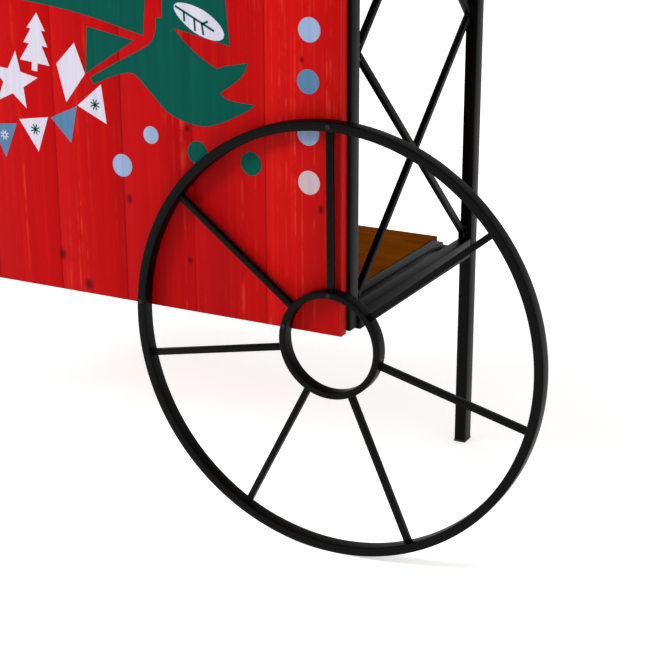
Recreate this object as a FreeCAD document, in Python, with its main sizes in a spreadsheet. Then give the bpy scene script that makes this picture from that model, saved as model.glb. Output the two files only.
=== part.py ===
"""Push vending cart: a black welded tube frame with a red plank front, a lower
shelf, a wooden counter, two fixed decorative spoked wheels and a fabric canopy.

Millimetres.  +X is the viewer's right, the customer side faces -Y and +Z is up.
The origin is on the floor, at the centre of the cart's footprint.
"""
import FreeCAD, Part

import os
import re

import Sketcher

SIZES = {
    # tube frame
    "Tube": 19,              # short side of the tubes
    "TallTube": 30,          # long side of the side rails and of the front posts
    "TubeDeep": 25,          # posts, legs and long rails from front to back
    "Wall": 1.5,             # wall of every tube
    "FrameDepth": 440,       # front face of the front posts to rear face of the legs
    "Clearance": 319,        # floor to the underside of the frame
    "CellHeight": 364,       # half the height between the side rails
    "LatticeBar": 9,         # square lattice bar
    "LatticeInset": 3,       # lattice inside the middle of the side frame's tubes
    "LatticeSeat": 11.5,     # lattice joints above the lower and below the upper side rail
    "LatticeDrop": 12,       # middle joints below mid-height
    "JointDeep": 12,         # short upright in which the bars meet
    "JointHigh": 23,
    "FootThick": 3,          # sole of the plastic foot plug
    "FootInsert": 20,        # part of the foot plug inside the leg
    # front panel
    "PanelWidth": 1160,
    "PlankCount": 10,
    "PlankThick": 15,
    "PlankGap": 0.2,
    "SideOffset": 9.5,       # outer face of the side frames beyond the panel's edge
    "PostStep": 3.5,         # front posts set in from that face
    "PostLift": 4,           # foot of a front post above the frame's underside
    # shelf
    "ShelfInset": 27.5,      # side rail to the shelf's own side rail
    "ShelfThick": 12,
    "ShelfGap": 2.5,         # clears the heads of the panel screws
    "BearerCount": 5,
    "BearerWide": 30,
    "BearerThick": 4,
    "ShelfBite": 8,          # screw inside the shelf board
    "BearerSpan": 960,       # first bearer to last bearer
    # counter
    "CounterThick": 18,
    "CounterBoards": 4,
    "CounterGap": 1.5,
    "CounterReach": 25,      # overhang beyond the frame
    "NotchGap": 0.5,
    # wheels
    "WheelRadius": 310,
    "RimWide": 13.3,         # rim bar along the radius
    "RimDeep": 20,           # rim and hub ring from front to back
    "HubRadius": 77,
    "HubWide": 9.7,
    "SpokeBar": 9,
    "SpokeCount": 7,
    "WeldGap": 0.1,
    "WheelInset": 10,        # wheel centre inside the panel's edge
    # canopy
    "CanopyPost": 833,
    "SleeveLength": 120,
    "SleeveGap": 0.2,
    "EaveReach": 320,        # centre line of the cart to the eave rail's outer face
    "EaveHalf": 665,         # half the length of the eave rails
    "RoofRise": 160,
    "RidgeDrop": 5,          # ridge rail below the peak of the cloth
    "ClothThick": 3,
    "ClothGap": 0.5,
    "Valance": 130,
    # fasteners
    "BoltRadius": 2,
    "BoltHead": 3.6,
    "BoltHeadHigh": 1.2,
    "InsertRadius": 3,       # rivet nut in the front wall of a tube
    "InsertLength": 12,
    "ScrewRadius": 1.75,
    "ScrewHead": 3.6,
    "ScrewHeadHigh": 1.8,
    "ScrewBite": 8,          # screw inside the planks
    "ScrewDraw": 0.977,      # row of panel screws against the row of plank centres
    "CounterBite": 12,
}

doc = FreeCAD.newDocument("PushVendingCart")
sheet = doc.addObject("Spreadsheet::Sheet", "Sizes")
for row, (alias, value) in enumerate(SIZES.items(), start=1):
    sheet.set(f"A{row}", alias)
    sheet.set(f"B{row}", str(value))
    sheet.setAlias(f"B{row}", alias)
doc.recompute()

# Formulas of the spreadsheet's aliases for the planes that the pieces share.
SIDE_X = "(PanelWidth / 2 + SideOffset - Tube / 2)"
POST_X = "(PanelWidth / 2 + SideOffset - PostStep - TallTube / 2)"
END_Y = "(FrameDepth / 2 - TubeDeep / 2)"
BAY_DEPTH = "(FrameDepth - 2 * TubeDeep)"
FRAME_HIGH = "(2 * CellHeight + 2 * TallTube)"
FRAME_TOP = f"(Clearance + {FRAME_HIGH})"
LOW_Z = "(Clearance + Tube / 2)"
MIDDLE_Z = "(Clearance + TallTube + CellHeight)"
HIGH_Z = f"({FRAME_TOP} - Tube / 2)"
PANEL_BACK = "(-FrameDepth / 2)"
PANEL_FACE = "(-FrameDepth / 2 - PlankThick)"
WHEEL_X = "(PanelWidth / 2 - WheelInset)"
WHEEL_Y = f"({PANEL_FACE} - RimDeep / 2)"
WHEEL_FACE = f"({PANEL_FACE} - RimDeep)"
RIM_MIDDLE = "(WheelRadius - RimWide / 2)"
HUB_MIDDLE = "(HubRadius - HubWide / 2)"
POST_TOP = f"({FRAME_TOP} + CanopyPost)"
EAVE_Z = f"({POST_TOP} + 2 * Tube)"
CLOTH_REACH = "(EaveReach + ClothGap)"
CLOTH_HALF = "(EaveHalf + ClothGap)"

SIDES = (("right", 1), ("left", -1))
ALONG_X = FreeCAD.Rotation(FreeCAD.Vector(0, 1, 0), 90)
ALONG_Y = FreeCAD.Rotation(FreeCAD.Vector(1, 0, 0), -90)
ALONG_Z = FreeCAD.Rotation()
HALF_TURN = FreeCAD.Rotation(FreeCAD.Vector(0, 0, 1), 180)
UPRIGHT_ACROSS = FreeCAD.Rotation(FreeCAD.Vector(1, 1, 1), 120)   # own X, Y, Z become Y, Z, X
ANY_ANGLE = 45               # sets the axis of a rotation whose angle is a formula
nodes = []


def bind(item, name, formula):
    """Bind one property to a formula of the spreadsheet's aliases."""
    text = re.sub(r"[A-Za-z_]+", lambda word: f"Sizes.{word[0]}" if word[0] in SIZES else word[0], formula)
    item.setExpression(name, text)


def move(item, position):
    for axis, formula in zip("xyz", position):
        bind(item, f"Placement.Base.{axis}", formula)


def node(item, label):
    """Give a finished piece the name that its file will have."""
    item.Label = label
    nodes.append(item)
    return item


def block(size, centre):
    """A box of the given size about the given centre."""
    item = doc.addObject("Part::Box", "Block")
    for name, formula in zip(("Length", "Width", "Height"), size):
        bind(item, name, formula)
    move(item, [f"{middle} - ({length}) / 2" for middle, length in zip(centre, size)])
    return item


def tube(size, centre, axis):
    """A hollow tube: a block less the same block thinned by two walls off its axis."""
    inner = [length if name == axis else f"{length} - 2 * Wall" for name, length in zip("xyz", size)]
    return cut(block(size, centre), block(inner, centre))


def rod(radius, length, position, turn):
    item = doc.addObject("Part::Cylinder", "Rod")
    bind(item, "Radius", radius)
    bind(item, "Height", length)
    item.Placement.Rotation = turn
    move(item, position)
    return item


def cut(base, tool):
    item = doc.addObject("Part::Cut", "Cut")
    item.Base = base
    item.Tool = tool
    return item


def common(base, tool):
    item = doc.addObject("Part::Common", "Common")
    item.Base = base
    item.Tool = tool
    return item


def fuse(pieces):
    item = doc.addObject("Part::MultiFuse", "Fuse")
    item.Shapes = pieces
    return item


def group(pieces):
    item = doc.addObject("Part::Compound", "Group")
    item.Links = pieces
    return item


def drill(base, holes):
    """Cut a list of rods out of a piece."""
    return cut(base, group(holes)) if holes else base


def screw(position, turn, shank):
    """A pan-head screw whose head sits against a face; position is under the head."""
    shaft = rod("ScrewRadius", shank, position, turn)
    away = turn.multVec(FreeCAD.Vector(0, 0, -1))
    under = [f"{middle} + {round(step)} * ScrewHeadHigh" for middle, step in zip(position, away)]
    return fuse([shaft, rod("ScrewHead", "ScrewHeadHigh", under, turn)])


# ---------------------------------------------------------------- hole patterns

def wheel_bolt_places(sign):
    """Each wheel is bolted where its two rings cross the front post and the lower rail."""
    drop = f"({LOW_Z} - WheelRadius)"
    places = []
    for ring in (RIM_MIDDLE, HUB_MIDDLE):
        places.append((f"{sign} * {WHEEL_X}", f"(WheelRadius + {ring})"))
        places.append((f"{sign} * ({WHEEL_X} - sqrt({ring} ^ 2 - {drop} ^ 2))", LOW_Z))
    return places


def plank_centre(number):
    return f"(PanelWidth / PlankCount * ({number} + 0.5) - PanelWidth / 2)"


def panel_screw_places():
    """One screw through each front rail into each plank."""
    planks = range(SIZES["PlankCount"])
    return [(number, height) for number in planks for height in (LOW_Z, MIDDLE_Z, HIGH_Z)]


def panel_screw_x(number):
    return f"(ScrewDraw * {plank_centre(number)})"


def counter_board_wide():
    return "((FrameDepth + 2 * CounterReach) / CounterBoards)"


def counter_board_y(number):
    return f"({counter_board_wide()} * ({number} + 0.5) - FrameDepth / 2 - CounterReach)"


bolt_holes = {}
insert_holes = {}
for side, sign in SIDES:
    places = wheel_bolt_places(sign)
    bolt_holes[side] = [rod("BoltRadius", "RimDeep + PlankThick", (x, WHEEL_FACE, z), ALONG_Y) for x, z in places]
    insert_holes[side] = [rod("InsertRadius", "InsertLength", (x, PANEL_BACK, z), ALONG_Y) for x, z in places]

panel_holes = {}
for number, height in panel_screw_places():
    start = (panel_screw_x(number), f"{PANEL_BACK} - ScrewBite", height)
    panel_holes[number, height] = rod("ScrewRadius", "TubeDeep + ScrewBite", start, ALONG_Y)


# ---------------------------------------------------------------- posts and legs

def sleeve_holes(x, y, side_sign, half_wide):
    """Two screws through the outer wall of a post, one each side of the joint."""
    places = [f"{FRAME_TOP} {step} SleeveLength / 4" for step in ("-", "+")]
    turn = FreeCAD.Rotation(FreeCAD.Vector(0, 1, 0), -90 * side_sign)
    start = f"{x} + {side_sign} * {half_wide}"
    return [((start, y, z), turn) for z in places]


sleeve_screw_places = []
sleeves = []
for side, sign in SIDES:
    corners = (
        ("front", POST_X, f"-{END_Y}", "TallTube", "(Clearance + PostLift)", f"({FRAME_HIGH} - PostLift)"),
        ("rear", SIDE_X, END_Y, "Tube", "FootThick", f"({FRAME_TOP} - FootThick)"),
    )
    for end, post_x, y, wide, base, high in corners:
        x = f"{sign} * {post_x}"
        places = sleeve_holes(x, y, sign, f"{wide} / 2")
        sleeve_screw_places += places
        holes = [rod("ScrewRadius", "3 * Wall", start, turn) for start, turn in places]
        lower = tube((wide, "TubeDeep", high), (x, y, f"({base} + {high} / 2)"), "z")
        upper_centre = (x, y, f"({FRAME_TOP} + CanopyPost / 2)")
        upper = tube((wide, "TubeDeep", "CanopyPost"), upper_centre, "z")
        inside = [f"({length} - 2 * Wall - 2 * SleeveGap)" for length in (wide, "TubeDeep")]
        sleeve = tube((*inside, "SleeveLength"), (x, y, FRAME_TOP), "z")
        own_bolts = insert_holes[side][0::2] if end == "front" else []
        lower_name = f"front_post_{side}" if end == "front" else f"rear_leg_{side}"
        node(drill(lower, holes + own_bolts), lower_name)
        node(drill(upper, holes), f"canopy_post_{end}_{side}")
        sleeves.append(drill(sleeve, holes))
node(group(sleeves), "canopy_post_sleeves")
node(group([screw(start, turn, "3 * Wall") for start, turn in sleeve_screw_places]), "sleeve_screws")

feet = []
for side, sign in SIDES:
    x = f"{sign} * {SIDE_X}"
    sole = block(("Tube", "TubeDeep", "FootThick"), (x, END_Y, "FootThick / 2"))
    plug = ("(Tube - 2 * Wall)", "(TubeDeep - 2 * Wall)", "FootInsert")
    insert = block(plug, (x, END_Y, "(FootThick + FootInsert / 2)"))
    feet.append(fuse([sole, insert]))
node(group(feet), "rear_feet")

# ---------------------------------------------------------------- rails

FRONT_RAIL = (f"(2 * ({POST_X} - TallTube / 2))", "TubeDeep", "Tube")
front_rails = (
    ("lower_front_rail", LOW_Z, insert_holes["right"][1::2] + insert_holes["left"][1::2]),
    ("middle_front_rail", MIDDLE_Z, []),
    ("upper_front_rail", HIGH_Z, []),
)
for label, height, bolts in front_rails:
    holes = [panel_holes[number, height] for number in range(SIZES["PlankCount"])]
    rail = tube(FRONT_RAIL, ("0", f"-{END_Y}", height), "x")
    node(drill(rail, holes + bolts), label)

REAR_LONG = f"(2 * ({SIDE_X} - Tube / 2))"
node(tube((REAR_LONG, "TubeDeep", "Tube"), ("0", END_Y, HIGH_Z), "x"), "upper_rear_rail")
# The lower one is a flat bar that the shelf board lies on.
REAR_BAR_HIGH = "(Tube - ShelfThick)"
bar_centre = ("0", END_Y, f"(Clearance + {REAR_BAR_HIGH} / 2)")
node(block((REAR_LONG, "TubeDeep", REAR_BAR_HIGH), bar_centre), "lower_rear_rail")

counter_screw_places = []
for x, depth in ((f"-{SIDE_X}", "TallTube"), ("0", "Tube"), (SIDE_X, "TallTube")):
    for number in range(SIZES["CounterBoards"]):
        y = counter_board_y(number)
        counter_screw_places.append((x, f"{y} * (FrameDepth - 3 * Tube) / FrameDepth", depth))


def counter_hole(place):
    x, y, depth = place
    return rod("ScrewRadius", f"{depth} + CounterBite", (x, y, f"{FRAME_TOP} - {depth}"), ALONG_Z)


counter_holes = [counter_hole(place) for place in counter_screw_places]
board_count = SIZES["CounterBoards"]
for side, sign in SIDES:
    x = f"{sign} * {SIDE_X}"
    size = ("Tube", BAY_DEPTH, "TallTube")
    node(tube(size, (x, "0", "(Clearance + TallTube / 2)"), "y"), f"lower_side_rail_{side}")
    own = counter_holes[2 * board_count:] if side == "right" else counter_holes[:board_count]
    upper = tube(size, (x, "0", f"({FRAME_TOP} - TallTube / 2)"), "y")
    node(drill(upper, own), f"upper_side_rail_{side}")
middle = tube(("Tube", BAY_DEPTH, "Tube"), ("0", "0", HIGH_Z), "y")
node(drill(middle, counter_holes[board_count:2 * board_count]), "counter_middle_rail")

# ---------------------------------------------------------------- side lattices

LATTICE_Z = (
    "(Clearance + TallTube + LatticeSeat)",
    f"({MIDDLE_Z} - LatticeDrop)",
    f"({FRAME_TOP} - TallTube - LatticeSeat)",
)
LATTICE_REACH = f"({BAY_DEPTH} - JointDeep)"


def lattice_bar(x, low, high, lean):
    """One diagonal between the joints of a cell, trimmed to the space between them."""
    rise = f"({high} - {low})"
    angle = f"atan({rise} / {LATTICE_REACH})"
    length = f"(sqrt({rise} ^ 2 + {LATTICE_REACH} ^ 2) + 4 * LatticeBar)"
    centre = f"(({low} + {high}) / 2)"
    bar = doc.addObject("Part::Box", "Diagonal")
    bind(bar, "Length", "LatticeBar")
    bind(bar, "Width", length)
    bind(bar, "Height", "LatticeBar")
    bar.Placement.Rotation = FreeCAD.Rotation(FreeCAD.Vector(1, 0, 0), ANY_ANGLE)
    bind(bar, "Placement.Rotation.Angle", f"{lean} * {angle}")
    along = f"{length} / 2 * cos({angle})"
    across = f"LatticeBar / 2 * sin({angle})"
    climb = f"{length} / 2 * sin({angle})"
    square = f"LatticeBar / 2 * cos({angle})"
    move(bar, (
        f"{x} - LatticeBar / 2",
        f"{lean} * ({across}) - {along}",
        f"{centre} - {lean} * ({climb}) - {square}",
    ))
    space = ("2 * LatticeBar", f"({BAY_DEPTH} - 2 * JointDeep)", rise)
    return common(bar, block(space, (x, "0", centre)))


for side, sign in SIDES:
    x = f"{sign} * ({SIDE_X} - LatticeInset)"
    bars = []
    for low, high in zip(LATTICE_Z, LATTICE_Z[1:]):
        through = lattice_bar(x, low, high, 1)
        bars += [through, cut(lattice_bar(x, low, high, -1), through)]
    joints = [
        block(("LatticeBar", "JointDeep", "JointHigh"), (x, f"{end} * {LATTICE_REACH} / 2", height))
        for height in LATTICE_Z for end in (-1, 1)
    ]
    node(group(bars + joints), f"side_lattice_{side}")

# ---------------------------------------------------------------- shelf

SHELF_X = f"({SIDE_X} - Tube - ShelfInset)"
for side, sign in SIDES:
    centre = (f"{sign} * {SHELF_X}", "0", LOW_Z)
    node(tube(("Tube", BAY_DEPTH, "Tube"), centre, "y"), f"shelf_side_rail_{side}")

SHELF_TOP = "(Clearance + Tube)"
BEARER_LOW = f"({SHELF_TOP} - ShelfThick - BearerThick)"
SHELF_SHANK = "(BearerThick + ShelfBite)"
shelf_screw_places = []
shelf_holes = []
bearers = []
for number in range(SIZES["BearerCount"]):
    x = f"(BearerSpan * ({number} / (BearerCount - 1) - 0.5))"
    places = [(x, f"{step} * FrameDepth / 3", BEARER_LOW) for step in (-1, 1)]
    holes = [rod("ScrewRadius", SHELF_SHANK, place, ALONG_Z) for place in places]
    bearer = block(("BearerWide", BAY_DEPTH, "BearerThick"), (x, "0", f"({BEARER_LOW} + BearerThick / 2)"))
    bearers.append(drill(bearer, holes))
    shelf_screw_places += places
    shelf_holes += holes
node(group(bearers), "shelf_bearers")

SHELF_FRONT = f"(ShelfGap - {BAY_DEPTH} / 2)"
SHELF_DEEP = f"(FrameDepth / 2 - {SHELF_FRONT})"
SHELF_SIZE = (f"(2 * {SHELF_X} - Tube - 2 * ShelfGap)", SHELF_DEEP, "ShelfThick")
shelf_centre = ("0", f"({SHELF_FRONT} + {SHELF_DEEP} / 2)", f"({SHELF_TOP} - ShelfThick / 2)")
shelf = block(SHELF_SIZE, shelf_centre)
node(drill(shelf, shelf_holes), "shelf_board")

node(group([screw(place, ALONG_Z, SHELF_SHANK) for place in shelf_screw_places]), "shelf_screws")

# ---------------------------------------------------------------- plank front

all_bolt_holes = bolt_holes["right"] + bolt_holes["left"]
for number in range(SIZES["PlankCount"]):
    size = ("(PanelWidth / PlankCount - PlankGap)", "PlankThick", FRAME_HIGH)
    centre = (plank_centre(number), f"({PANEL_BACK} - PlankThick / 2)", f"(Clearance + {FRAME_HIGH} / 2)")
    holes = [panel_holes[number, height] for height in (LOW_Z, MIDDLE_Z, HIGH_Z)]
    node(drill(drill(block(size, centre), holes), all_bolt_holes), f"front_plank_{number + 1:02d}")

BACK_IN = FreeCAD.Rotation(FreeCAD.Vector(1, 0, 0), 90)
panel_screws = []
for number, height in panel_screw_places():
    start = (panel_screw_x(number), f"{PANEL_BACK} + TubeDeep", height)
    panel_screws.append(screw(start, BACK_IN, "TubeDeep + ScrewBite"))
node(group(panel_screws), "panel_screws")

# ---------------------------------------------------------------- counter

NOTCHES = []
for side, sign in SIDES:
    for post_x, y, wide in ((POST_X, f"-{END_Y}", "TallTube"), (SIDE_X, END_Y, "Tube")):
        opening = (f"({wide} + 2 * NotchGap)", "(TubeDeep + 2 * NotchGap)", "(2 * CounterThick)")
        NOTCHES.append(block(opening, (f"{sign} * {post_x}", y, f"({FRAME_TOP} + CounterThick / 2)")))
for number in range(board_count):
    size = (f"(2 * ({SIDE_X} + Tube / 2 + CounterReach))",
            f"({counter_board_wide()} - CounterGap)", "CounterThick")
    board = block(size, ("0", counter_board_y(number), f"({FRAME_TOP} + CounterThick / 2)"))
    holes = counter_holes[number::board_count]
    node(drill(drill(board, NOTCHES), holes), f"counter_board_{number + 1}")

counter_screws = [
    screw((x, y, f"{FRAME_TOP} - {depth}"), ALONG_Z, f"{depth} + CounterBite")
    for x, y, depth in counter_screw_places
]
node(group(counter_screws), "counter_screws")

# ---------------------------------------------------------------- wheels


def ring_body(name, outer, inner, x):
    """A flat ring drawn as two circles on the XZ plane and padded by their depth."""
    body = doc.addObject("PartDesign::Body", name)
    sketch = body.newObject("Sketcher::SketchObject", f"{name}Sketch")
    plane = next(item for item in body.Origin.OriginFeatures if item.Role == "XZ_Plane")
    sketch.AttachmentSupport = (plane, "")
    sketch.MapMode = "FlatFace"
    origin = FreeCAD.Vector()
    for formula in (outer, inner):
        circle = Part.Circle(origin, FreeCAD.Vector(0, 0, 1), SIZES["WheelRadius"])
        index = sketch.addGeometry(circle)
        sketch.addConstraint(Sketcher.Constraint("Coincident", index, 3, -1, 1))
        rule = sketch.addConstraint(Sketcher.Constraint("Radius", index, circle.Radius))
        bind(sketch, f"Constraints[{rule}]", formula)
    pad = body.newObject("PartDesign::Pad", f"{name}Pad")
    pad.Profile = sketch
    bind(pad, "Length", "RimDeep")
    pad.Midplane = True
    move(body, (x, WHEEL_Y, "WheelRadius"))
    return body


# Degrees by which each spoke of the right wheel is off the even spacing, from the top one on.
SPOKE_LEAN = (0.5, 1.2, -1.2, -1.3, -1.7, -1.3, 0.5)


def spoke(x, sign, number):
    """A square bar from the hub ring to the rim; spoke 0 points up, the left wheel is mirrored."""
    turn = f"(90 + {sign} * (360 / SpokeCount * {number} + {SPOKE_LEAN[number]}))"
    bar = doc.addObject("Part::Box", "Spoke")
    bind(bar, "Length", "WheelRadius - RimWide - HubRadius - WeldGap")
    bind(bar, "Width", "SpokeBar")
    bind(bar, "Height", "SpokeBar")
    bar.Placement.Rotation = FreeCAD.Rotation(FreeCAD.Vector(0, -1, 0), ANY_ANGLE)
    bind(bar, "Placement.Rotation.Angle", turn)
    move(bar, (
        f"{x} + HubRadius * cos({turn}) + SpokeBar / 2 * sin({turn})",
        f"{WHEEL_Y} - SpokeBar / 2",
        f"WheelRadius + HubRadius * sin({turn}) - SpokeBar / 2 * cos({turn})",
    ))
    return bar


bolts, inserts = [], []
for side, sign in SIDES:
    x = f"{sign} * {WHEEL_X}"
    rim = ring_body(f"Rim{side}", "WheelRadius", "WheelRadius - RimWide", x)
    hub = ring_body(f"Hub{side}", "HubRadius", "HubRadius - HubWide", x)
    node(drill(rim, bolt_holes[side]), f"wheel_rim_{side}")
    node(drill(hub, bolt_holes[side]), f"wheel_hub_ring_{side}")
    spokes = [spoke(x, sign, number) for number in range(SIZES["SpokeCount"])]
    node(group(spokes), f"wheel_spokes_{side}")
    for index, (place_x, place_z) in enumerate(wheel_bolt_places(sign)):
        length = "RimDeep + PlankThick + InsertLength"
        shank = rod("BoltRadius", length, (place_x, WHEEL_FACE, place_z), ALONG_Y)
        head = rod("BoltHead", "BoltHeadHigh", (place_x, f"{WHEEL_FACE} - BoltHeadHigh", place_z), ALONG_Y)
        bolts.append(fuse([shank, head]))
        thread = rod("BoltRadius", "InsertLength", (place_x, PANEL_BACK, place_z), ALONG_Y)
        inserts.append(cut(insert_holes[side][index], thread))
node(group(bolts), "wheel_bolts")
node(group(inserts), "wheel_bolt_inserts")

# ---------------------------------------------------------------- canopy

cross_rails = []
king_posts = []
for side, sign in SIDES:
    x = f"{sign} * {SIDE_X}"
    size = ("Tube", "(2 * EaveReach)", "Tube")
    cross_rails.append(tube(size, (x, "0", f"({POST_TOP} + Tube / 2)"), "y"))
    high = "(RoofRise - RidgeDrop)"
    foot = f"({POST_TOP} + Tube)"
    king_posts.append(tube(("Tube", "Tube", high), (x, "0", f"({foot} + {high} / 2)"), "z"))
node(group(cross_rails), "canopy_cross_rails")
node(group(king_posts), "canopy_king_posts")

EAVE_RAIL = ("(2 * EaveHalf)", "Tube", "Tube")
eave_rails = [
    tube(EAVE_RAIL, ("0", f"{end} * (EaveReach - Tube / 2)", f"({EAVE_Z} - Tube / 2)"), "x")
    for end in (-1, 1)
]
node(group(eave_rails), "canopy_eave_rails")
RIDGE_Z = f"({EAVE_Z} + RoofRise - RidgeDrop - Tube / 2)"
node(tube(EAVE_RAIL, ("0", "0", RIDGE_Z), "x"), "canopy_ridge_rail")


def wedge(bounds):
    """A solid whose section shrinks or shifts evenly along its own Y."""
    item = doc.addObject("Part::Wedge", "Wedge")
    for name, formula in bounds.items():
        bind(item, name, formula)
    return item


def roof_slope(end):
    """One half of the cloth: it rises evenly from its eave and ends upright at the ridge."""
    slope = wedge({
        "Xmin": f"-{CLOTH_HALF}", "Xmax": CLOTH_HALF, "X2min": f"-{CLOTH_HALF}", "X2max": CLOTH_HALF,
        "Ymin": "0", "Ymax": CLOTH_REACH, "Zmin": "0", "Zmax": "ClothThick",
        "Z2min": "RoofRise", "Z2max": "RoofRise + ClothThick",
    })
    slope.Placement.Rotation = ALONG_Z if end < 0 else HALF_TURN
    move(slope, ("0", f"{end} * {CLOTH_REACH}", f"{EAVE_Z} + ClothGap"))
    return slope


def front_valance(end):
    """The strip of cloth that hangs from one eave."""
    size = (f"(2 * {CLOTH_HALF})", "ClothThick", "(Valance + ClothThick)")
    y = f"{end} * ({CLOTH_REACH} + ClothThick / 2)"
    return block(size, ("0", y, f"({EAVE_Z} + ClothGap + (ClothThick - Valance) / 2)"))


node(group([roof_slope(-1), roof_slope(1), front_valance(-1), front_valance(1)]), "canopy_cover")


def cloth_end(sign):
    """The triangular end of the canopy with its own valance below."""
    gable = wedge({
        "Xmin": f"-{CLOTH_REACH}", "Xmax": CLOTH_REACH, "X2min": "-ClothThick", "X2max": "ClothThick",
        "Ymin": "0", "Ymax": "RoofRise", "Zmin": "0", "Zmax": "ClothThick",
        "Z2min": "0", "Z2max": "ClothThick",
    })
    gable.Placement.Rotation = UPRIGHT_ACROSS
    start = CLOTH_HALF if sign > 0 else f"-{CLOTH_HALF} - ClothThick"
    move(gable, (start, "0", EAVE_Z))
    middle_x = f"{sign} * ({CLOTH_HALF} + ClothThick / 2)"
    size = ("ClothThick", f"(2 * {CLOTH_REACH})", "Valance")
    skirt = block(size, (middle_x, "0", f"({EAVE_Z} - Valance / 2)"))
    return fuse([gable, skirt])


node(group([cloth_end(sign) for side, sign in SIDES]), "canopy_ends")

# ---------------------------------------------------------------- check and write

doc.recompute()
for item in doc.Objects:
    if "Invalid" in item.State or "Error" in item.State:
        raise RuntimeError(f"{item.Name} ({item.Label}) failed: {item.State}")
os.makedirs("parts", exist_ok=True)
for item in nodes:
    shape = item.Shape
    if shape.isNull() or not shape.isValid() or not shape.Solids:
        raise RuntimeError(f"{item.Label} has no valid solid")
    print(f"{item.Label:28s} {len(shape.Solids):3d} solids {shape.Volume / 1000:10.1f} cm3")
    shape.exportStep(os.path.join("parts", f"{item.Label}.step"))
print(len(nodes), "nodes")
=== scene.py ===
import math

import bmesh
import bpy
from mathutils import Matrix, Vector, noise


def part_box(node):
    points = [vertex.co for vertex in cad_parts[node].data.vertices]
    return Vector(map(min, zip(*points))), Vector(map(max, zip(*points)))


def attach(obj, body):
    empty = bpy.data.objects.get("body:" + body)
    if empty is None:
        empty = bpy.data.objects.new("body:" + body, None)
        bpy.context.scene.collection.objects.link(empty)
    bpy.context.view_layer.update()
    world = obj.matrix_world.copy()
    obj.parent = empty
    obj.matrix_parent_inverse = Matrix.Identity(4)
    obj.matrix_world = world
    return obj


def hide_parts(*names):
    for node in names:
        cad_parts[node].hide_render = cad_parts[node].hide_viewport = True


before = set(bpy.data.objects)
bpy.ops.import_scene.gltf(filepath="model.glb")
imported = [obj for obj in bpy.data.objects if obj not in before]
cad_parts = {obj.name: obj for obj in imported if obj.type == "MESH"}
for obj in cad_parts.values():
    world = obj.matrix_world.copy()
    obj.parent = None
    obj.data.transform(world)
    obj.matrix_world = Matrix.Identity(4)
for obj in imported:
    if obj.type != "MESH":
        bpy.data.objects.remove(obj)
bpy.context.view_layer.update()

# The looks of a vending cart: red stained planks with painted motifs, a black powder-coated
# tube frame with lattice sides, two spoked wheels, a brown shelf and counter, and a striped
# cloth canopy with red ends.  Metres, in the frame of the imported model, planks facing -Y.

MM = 0.001
BODY = "root"
SIDES = {"right": 1, "left": -1}

# Places of the plank front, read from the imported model.
PLANKS = [f"front_plank_{number:02d}" for number in range(1, 11)]
PLANK_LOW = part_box(PLANKS[0])[0]
PANEL_FACE = PLANK_LOW.y
PANEL_BOTTOM = PLANK_LOW.z
PANEL_HALF = -PLANK_LOW.x
PLANK_PITCH = 2 * PANEL_HALF / len(PLANKS)


# ------------------------------------------------------------------ mesh helpers

# Edges that turn by less than this many degrees are shaded smooth.
SMOOTH_UNDER = 35

# How finely rounded edges, rings, beads and curves are cut, and how round a solid bar's edges are.
BLOCK_STEPS = 2
RING_CORNER_STEPS = 4
BEAD_CORNERS = 8
BEAD_RIPPLE = 1.6 * MM
CURVE_STEPS = 6
BAR_ROUND = 0.8 * MM


def piece(name, mesh, material, replaces=(), smooth=SMOOTH_UNDER):
    """Turn a bmesh into a named piece that rides on the cart's one body."""
    data = bpy.data.meshes.new(name)
    bmesh.ops.recalc_face_normals(mesh, faces=mesh.faces)
    mesh.to_mesh(data)
    mesh.free()
    data.shade_smooth()
    data.set_sharp_from_angle(angle=math.radians(smooth))
    item = bpy.data.objects.new(name, data)
    bpy.context.scene.collection.objects.link(item)
    data.materials.append(material)
    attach(item, BODY)
    if replaces:
        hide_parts(*replaces)
    return item


def rounded_block(mesh, low, high, radius, turn=None):
    """Add a box with rounded edges between two corners, then turn it by a matrix."""
    low, high = Vector(low), Vector(high)
    made = bmesh.ops.create_cube(mesh, size=1)
    corners = made["verts"]
    size, centre = high - low, (high + low) / 2
    for corner in corners:
        corner.co = Vector(a * b for a, b in zip(corner.co, size)) + centre
    edges = list(dict.fromkeys(edge for corner in corners for edge in corner.link_edges))
    before = set(mesh.verts) - set(corners)
    bmesh.ops.bevel(
        mesh, geom=edges, offset=radius, segments=BLOCK_STEPS, profile=0.5, affect="EDGES")
    if turn:
        bmesh.ops.transform(mesh, matrix=turn, verts=[v for v in mesh.verts if v not in before])


def bar(mesh, start, end, wide, high, normal):
    """Add a straight rounded bar from start to end; high is measured along the normal."""
    start, end = Vector(start), Vector(end)
    along = (end - start).normalized()
    normal = Vector(normal)
    side = normal.cross(along).normalized()
    turn = Matrix((along, side, normal)).transposed().to_4x4()
    turn.translation = start
    length = (end - start).length
    rounded_block(mesh, (0, -wide / 2, -high / 2), (length, wide / 2, high / 2), BAR_ROUND, turn)


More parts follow.
